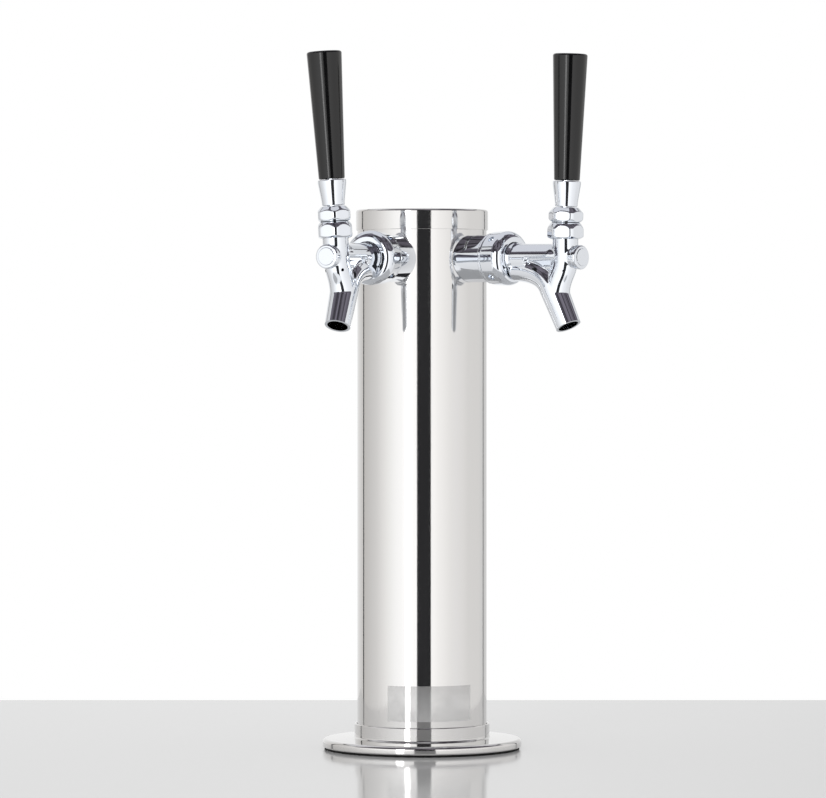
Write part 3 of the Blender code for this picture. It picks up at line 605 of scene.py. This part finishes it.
for side, place in tap_places.items():
    barrel = shaped(
        blank(f"{side}_body", turned(barrel_outline, Matrix(), tap_sides, along_x=True)),
        cuts=[
            blank("near_hollow", plate(pocket, web, tap_flange_radius)),
            blank("other_hollow", plate(pocket, -tap_flange_radius, -web)),
        ],
    )
    upright = Matrix.Translation((lever_reach, 0, 0))
    casting = shaped(
        barrel,
        joins=[
            blank("web", plate(web_outline, web_relief - web, web - web_relief)),
            blank("arm_and_spout", swept(arm + spout, lower_radii, tube_sides)),
            blank("throat", swept(throat, [throat_radius] * len(throat), tube_sides)),
            blank("head", turned(head_outline, upright, tap_sides)),
            blank("front", turned(front_outline, Matrix(), tap_sides, along_x=True)),
        ],
        voxel=casting_voxel, rounds=casting_rounds,
    )
    cuts = [
        blank("valve_bore", turned(valve_outline, Matrix(), bore_sides, along_x=True)),
        blank("socket", turned(socket_outline, upright, bore_sides)),
        blank("slot", plate(tip_slot, -slot_half_width, slot_half_width)),
        blank("spout_bore", swept(bore_line, bore_radii, bore_sides)),
    ]
    for degrees in (vent_degrees, -vent_degrees):
        out = Vector((math.cos(math.radians(degrees)), math.sin(math.radians(degrees)), 0))
        start = vent_middle + out * vent_inside
        end = vent_middle + out * vent_outside
        cuts.append(blank("vent", rod(start, end, vent_radius, Matrix(), 24)))
    face = up_spout(0)
    past = up_spout(-facing_depth)
    facing_cut = rod((face.x, 0, face.y), (past.x, 0, past.y), facing_radius, Matrix(), bore_sides)
    cuts.append(blank("mouth_face", facing_cut))
    casting = shaped(casting, cuts=cuts)
    casting.data.transform(place)
    piece(f"{side}_tap_casting", casting, chrome, "tower", f"{side}_faucet_body")

    button = turned(
        rounded([
            (0, button_rear, 0), (button_radius, button_rear, 0.0006), (button_radius, button_face, 0.0011),
            (button_disc_foot_radius, button_face, 0.0002), (button_disc_radius, button_disc_face, 0.0002),
            (0, button_disc_face, 0),
        ], 5),
        Matrix(), tap_sides, along_x=True,
    )
    button.transform(place)
    piece(f"{side}_front_button", blank("button", button), chrome, "tower", None)


# Valves
# Stainless shaft with a rubber seat washer and its nut, sliding in the tap's barrel. Hidden but real.
for side in tap_places:
    dress(steel, f"{side}_valve_shaft", f"{side}_shaft_nut")
    dress(nitrile, f"{side}_seat_washer")


# Bonnets and lever collars
# Six-sided brass nuts, chromed. The bonnet caps the lever's ball joint, and the collar locks the handle.
# Both were tumbled before plating, so their corners are round. Hollow and bore are cut afterwards.
def hexagon(corner, low, high, plumpness=18):
    """A six-sided bar along Z with worn corners and faintly bulging flats."""
    bm = bmesh.new()
    ring = []
    for step in range(96):
        turn = math.tau * step / 96
        leans = sum(max(math.cos(turn - math.radians(60 * side)), 0) ** plumpness for side in range(6))
        out = corner * math.cos(math.radians(30)) / leans ** (1 / plumpness)
        ring.append(bm.verts.new((out * math.cos(turn), out * math.sin(turn), low)))
    grown = bmesh.ops.extrude_face_region(bm, geom=[bm.faces.new(ring)])
    moved = [item for item in grown["geom"] if isinstance(item, bmesh.types.BMVert)]
    bmesh.ops.translate(bm, verts=moved, vec=(0, 0, high - low))
    bmesh.ops.recalc_face_normals(bm, faces=bm.faces)
    return bm


nut_voxel = 0.00022
nut_rounds = 24
pivot_height = 0.0125
lever_lean = math.radians(2.0)
stud_bore = 0.0037

bonnet_sphere = 0.01115
bonnet_corner = 0.0105
bonnet_mouth = 0.0073
bonnet_top = math.sqrt(bonnet_sphere ** 2 - bonnet_mouth ** 2)
bonnet_foot = -0.0020
bonnet_foot_radius = 0.0085
bonnet_outline = [
    (0, bonnet_foot), (bonnet_foot_radius, bonnet_foot), (bonnet_corner, bonnet_foot + 0.0012),
    *arc(bonnet_sphere, math.acos(bonnet_corner / bonnet_sphere), math.asin(bonnet_top / bonnet_sphere), 8),
    (0, bonnet_top),
]
bar_spare = 0.0020
bonnet_bar = (0.0111, bonnet_foot - bar_spare, bonnet_top + bar_spare)
bonnet_thread = 0.0077
bonnet_ledge = 0.0039
bonnet_throat = 0.0053
bonnet_hollow = [
    (0, bonnet_foot - bar_spare), (bonnet_thread, bonnet_foot - bar_spare), (bonnet_thread, bonnet_ledge),
    (bonnet_throat, bonnet_ledge), (bonnet_mouth, bonnet_top), (bonnet_mouth, bonnet_top + bar_spare),
    (0, bonnet_top + bar_spare),
]

collar_sphere = 0.0115
collar_foot_radius = 0.0085
collar_corner = 0.0100
collar_top_radius = 0.0070
collar_nut_top = 0.0163
collar_foot = math.sqrt(collar_sphere ** 2 - collar_foot_radius ** 2)
collar_outline = [
    (0, collar_foot), (collar_foot_radius, collar_foot), (collar_corner, collar_foot + 0.0016),
    (collar_corner, collar_nut_top - 0.0032), (collar_top_radius, collar_nut_top), (0, collar_nut_top),
]
collar_bar = (0.0106, 0, collar_nut_top + bar_spare)
collar_hollow = [(0, 0), *arc(collar_sphere, 0, math.radians(90), 16)[:-1], (0, collar_sphere)]
for side, place in tap_places.items():
    head = place @ Matrix.Translation((lever_reach, 0, pivot_height))
    bonnet = shaped(
        blank(f"{side}_bonnet_bar", hexagon(*bonnet_bar)),
        keeps=[blank("dome", turned(bonnet_outline, Matrix(), 96))], voxel=nut_voxel, rounds=nut_rounds,
    )
    bonnet = shaped(bonnet, cuts=[blank("hollow", turned(bonnet_hollow, Matrix(), 64))])
    bonnet.data.transform(head)
    piece(f"{side}_cap_nut", bonnet, chrome, "tower", f"{side}_bonnet")

    collar = shaped(
        blank(f"{side}_collar_bar", hexagon(*collar_bar)),
        keeps=[blank("corners", turned(collar_outline, Matrix(), 96))], voxel=nut_voxel, rounds=nut_rounds,
    )
    under = blank("under", turned(collar_hollow, Matrix(), 64))
    bore = blank("bore", rod((0, 0, 0), (0, 0, 0.045), stud_bore, Matrix(), 48))
    collar = shaped(collar, cuts=[under, bore])
    collar.data.transform(head @ Matrix.Rotation(lever_lean, 4, "Y"))
    piece(f"{side}_collar_nut", collar, chrome, f"{side}_lever", f"{side}_lever_collar")
    dress(chrome, f"{side}_lever")


# Handles
# A chromed ferrule, and a tapered grip moulded in gloss black ABS on a threaded insert.
# The plastic is a shallow black mirror with a faint moulded ripple.
gloss_abs = new_material("gloss_black_abs", "#0C0C0D", 0.0, 0.12, IOR=1.5)
grain(gloss_abs, 0.004, (1, 1, 0.3), (0.09, 0.16), 0.000003)
handle_sides = 128
ferrule_low = 0.0166
ferrule_high = ferrule_low + 0.0147
ferrule_band = 0.0021
ferrule_low_radius = 0.00655
ferrule_high_radius = 0.0081
ferrule_sweep = 0.0060
grip_low = ferrule_high + 0.0003
grip_high = grip_low + 0.0725
grip_low_radius = 0.0074
grip_high_radius = 0.0100
grip_crown = 0.0002
insert_top = 0.0453
for side, place in tap_places.items():
    lean = place @ Matrix.Translation((lever_reach, 0, pivot_height)) @ Matrix.Rotation(lever_lean, 4, "Y")
    ferrule = turned(
        rounded([
            (stud_bore, ferrule_low, 0), (ferrule_low_radius, ferrule_low, 0.0006),
            (ferrule_low_radius, ferrule_low + ferrule_band, ferrule_sweep),
            (ferrule_high_radius, ferrule_high - ferrule_band, ferrule_sweep),
            (ferrule_high_radius, ferrule_high, 0.0006), (stud_bore, ferrule_high, 0),
        ], 5),
        lean, handle_sides,
    )
    piece(
        f"{side}_ferrule", blank("ferrule", ferrule), chrome,
        f"{side}_lever", f"{side}_handle_ferrule",
    )
    grip = turned(
        rounded([
            (0, insert_top, 0), (stud_bore, insert_top, 0), (stud_bore, grip_low, 0.0002),
            (grip_low_radius, grip_low, 0.0008), (grip_high_radius, grip_high, 0.0013),
            (0, grip_high + grip_crown, 0),
        ], 8),
        lean, handle_sides,
    )
    piece(
        f"{side}_grip", blank("grip", grip), gloss_abs,
        f"{side}_lever", f"{side}_handle_grip",
    )


# Blank film low on the column
# A clear polyester film with nothing printed on it, smoothed on by hand over a clear adhesive.
# Its face whitens the mirror a little and softens it. The adhesive side and edges barely show.
film = new_material("clear_film", "#FFFFFF", 0.0, 0.12, Alpha=0.3)
grain(film, 0.006, (1, 1, 1), (0.10, 0.20), 0.000004)
glue = new_material("clear_adhesive", "#FFFFFF", 0.0, 0.3, Alpha=0.02)
film_low = 0.0187
film_high = 0.0394
film_left = -31.7
film_right = 47.9
film_radius = column_radius + 0.00006
film_thickness = 0.00005
film_start = camera_turn + math.radians(film_left - 90)
film_turn = math.radians(film_right - film_left)
bm = bmesh.new()
ends = [
    bm.verts.new((film_radius * math.cos(film_start), film_radius * math.sin(film_start), height))
    for height in (film_low, film_high)
]
edge = bm.edges.new(ends)
bmesh.ops.spin(bm, geom=[*ends, edge], cent=(0, 0, 0), axis=(0, 0, 1), angle=film_turn, steps=40)
bmesh.ops.recalc_face_normals(bm, faces=bm.faces)
bmesh.ops.solidify(bm, geom=bm.faces[:], thickness=-film_thickness)
bm.transform(standing)
sticker = blank("film", bm)
sticker.data.shade_smooth()
sticker.data.materials.append(film)
sticker.data.materials.append(glue)
for face in sticker.data.polygons:
    if face.normal.dot(face.center - axis) < 0.001:
        face.material_index = 1
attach(sticker, "tower")


# Floor
# A plain pale satin sheet stands in for the counter and ends behind the tower.
# It is smooth enough to carry a faint reflection of the flange and column.
floor_finish = new_material("pale_satin_floor", "#D2D2D2", 0.0, 0.1, Specular_IOR_Level=0.3)
floor_width = 0.64
floor_depth = 0.66
floor_middle = axis - towards_camera * 0.01 + Vector((0, 0, -0.0001))
bm = bmesh.new()
bmesh.ops.create_grid(bm, x_segments=1, y_segments=1, size=0.5)
bmesh.ops.scale(bm, verts=bm.verts, vec=(floor_width, floor_depth, 1))
bmesh.ops.rotate(bm, verts=bm.verts, cent=(0, 0, 0), matrix=Matrix.Rotation(camera_turn, 3, "Z"))
bmesh.ops.translate(bm, verts=bm.verts, vec=floor_middle)
floor = blank("floor", bm)
floor.data.materials.append(floor_finish)


# Reflected room
# Cards far off that show only in reflections, as the room does in the photograph: pale walls whose tone
# changes round the tower, a dark gap behind the camera and two dark stands, which give the column its dark
# lines, and overhead a pale ceiling, a dim canopy in front and a cornice behind, which streak the chrome.
def glow(name, colour, strength=1.0):
    """A glowing material for a card, which no light in the scene changes."""
    material = bpy.data.materials.new(name)
    material.use_nodes = True
    material.node_tree.nodes.remove(material.node_tree.nodes["Principled BSDF"])
    light = add(material, "ShaderNodeEmission", {"Color": linear(colour), "Strength": strength})
    output = material.node_tree.nodes["Material Output"]
    material.node_tree.links.new(light.outputs["Emission"], output.inputs["Surface"])
    return material


def card(name, start, end, section, material):
    """A card with a section of (radius, height), between two angles rightwards from the camera."""
    first = camera_turn + math.radians(start - 90)
    bm = bmesh.new()
    points = [bm.verts.new((radius * math.cos(first), radius * math.sin(first), z)) for radius, z in section]
    edges = [bm.edges.new(pair) for pair in zip(points, points[1:])]
    bmesh.ops.spin(
        bm, geom=points + edges, cent=(0, 0, 0), axis=(0, 0, 1), angle=math.radians(end - start),
        steps=max(2, int((end - start) / 3)),
    )
    bm.transform(standing)
    made = blank(name, bm)
    made.data.shade_smooth()
    made.data.materials.append(material)
    made.visible_camera = False
    made.visible_diffuse = False
    made.visible_shadow = False
    made.visible_volume_scatter = False


room_foot = -2.5
room_top = 2.9
wall_radius = 3.4
gap_radius = 3.2

pale_walls = glow("pale_walls", "#FFFFFF", 1.4)
spot = add(pale_walls, "ShaderNodeTexCoord", {})
centred = add(pale_walls, "ShaderNodeMapping", {"Vector": spot.outputs["Object"], "Location": -axis})
facing = add(
    pale_walls, "ShaderNodeMapping",
    {"Vector": centred.outputs["Vector"], "Rotation": (0, 0, math.radians(90) - camera_turn)},
)
angle = add(pale_walls, "ShaderNodeTexGradient", {"Vector": facing.outputs["Vector"]}, gradient_type="RADIAL")
ramp = add(pale_walls, "ShaderNodeValToRGB", {"Fac": angle.outputs["Fac"]})
wall_tones = [
    (-180, "#D8D8D8"), (-160, "#D4D4D4"), (-140, "#C9C8C7"), (-122, "#BAB8B6"), (-101, "#C5C4C3"),
    (-86, "#CFCECD"), (-72, "#DEDDDC"), (-59, "#EAEAE9"), (-47, "#F4F4F4"), (-25, "#FFFFFF"), (18, "#F8F7F6"),
    (29, "#EFEEED"), (40, "#E9E8E7"), (52, "#E1E0DF"), (64, "#DDDCDC"), (77, "#D9D8D7"), (90, "#D2D1D0"),
    (119, "#D0CFCE"), (138, "#C4C4C4"), (152, "#BCBCBC"), (180, "#D8D8D8"),
]
while len(ramp.color_ramp.elements) < len(wall_tones):
    ramp.color_ramp.elements.new(0.5)
for stop, (degrees, tone) in zip(ramp.color_ramp.elements, wall_tones):
    stop.position = (degrees + 180) / 360
    stop.color = linear(tone)
wall_light = pale_walls.node_tree.nodes["Emission"]
pale_walls.node_tree.links.new(ramp.outputs["Color"], wall_light.inputs["Color"])
card("walls", -180, 180, [(wall_radius, room_foot), (wall_radius, room_top)], pale_walls)

dark_gap = glow("dark_gap", "#303032")
gap_section = [(gap_radius, room_foot), (gap_radius, room_top)]
card("gap", -8.8, 15.6, gap_section, dark_gap)
card("left_stand", -129.2, -125.4, gap_section, dark_gap)
card("right_stand", 138.8, 142, gap_section, dark_gap)

pale_ceiling = glow("pale_ceiling", "#E2E2E6")
card("ceiling", -180, 180, [(wall_radius, room_top), (0.001, room_top)], pale_ceiling)

dim_canopy = glow("dim_canopy", "#4E4A50")
spot = add(dim_canopy, "ShaderNodeTexCoord", {})
cloud = add(
    dim_canopy, "ShaderNodeTexNoise", {"Vector": spot.outputs["Object"], "Scale": 1.1, "Detail": 3.0},
)
shade = add(
    dim_canopy, "ShaderNodeMapRange",
    {"Value": cloud.outputs["Fac"], "From Min": 0.4, "From Max": 0.65, "To Min": 0.6, "To Max": 3.0},
)
canopy_light = dim_canopy.node_tree.nodes["Emission"]
dim_canopy.node_tree.links.new(shade.outputs["Result"], canopy_light.inputs["Strength"])
canopy_radius = 3.1
canopy_top = 2.7
canopy_section = [(canopy_radius, 1.50), (canopy_radius, canopy_top), (0.7, canopy_top)]
card("canopy", -92, 120, canopy_section, dim_canopy)

cornice_radius = 3.3
cornice_section = [(cornice_radius, 2.45), (cornice_radius, canopy_top)]
card("cornice", 120, 268, cornice_section, glow("cornice", "#6A6A70"))


# Light
# One tall soft lamp stands left of the camera, in a white room. The background is plain white, also where
# metal mirrors it, and the floor keeps the tower's shadow.
lamp_distance = 2.2
lamp_height = 0.55
lamp_turn = camera_turn + math.radians(-25)
lamp_side = Vector((math.sin(lamp_turn), -math.cos(lamp_turn), 0))
lamp = bpy.data.objects.new("soft_lamp", bpy.data.lights.new("soft_lamp", "AREA"))
lamp.data.shape = "RECTANGLE"
lamp.data.size = 0.32
lamp.data.size_y = 1.60
lamp.data.energy = 6.0
lamp.location = axis + lamp_side * lamp_distance + Vector((0, 0, lamp_height))
lamp.rotation_euler = (math.radians(90), 0, lamp_turn)
lamp.visible_camera = False
bpy.context.scene.collection.objects.link(lamp)

world = bpy.data.worlds.new("white_room")
world.use_nodes = True
bpy.context.scene.world = world
white = linear("#FFFFFF")
lit = world.node_tree.nodes["Background"]
lit.inputs["Color"].default_value = white
lit.inputs["Strength"].default_value = 0.8
seen = add(world, "ShaderNodeBackground", {"Color": white, "Strength": 1.0})
rays = add(world, "ShaderNodeLightPath", {})
either = add(
    world, "ShaderNodeMath", {0: rays.outputs["Is Camera Ray"], 1: rays.outputs["Is Glossy Ray"]},
    operation="ADD", use_clamp=True,
)
any_seen = add(
    world, "ShaderNodeMath", {0: either.outputs["Value"], 1: rays.outputs["Is Transmission Ray"]},
    operation="ADD", use_clamp=True,
)
mixed = add(
    world, "ShaderNodeMixShader",
    {"Fac": any_seen.outputs["Value"], 1: lit.outputs["Background"], 2: seen.outputs["Background"]},
)
world.node_tree.links.new(mixed.outputs["Shader"], world.node_tree.nodes["World Output"].inputs["Surface"])
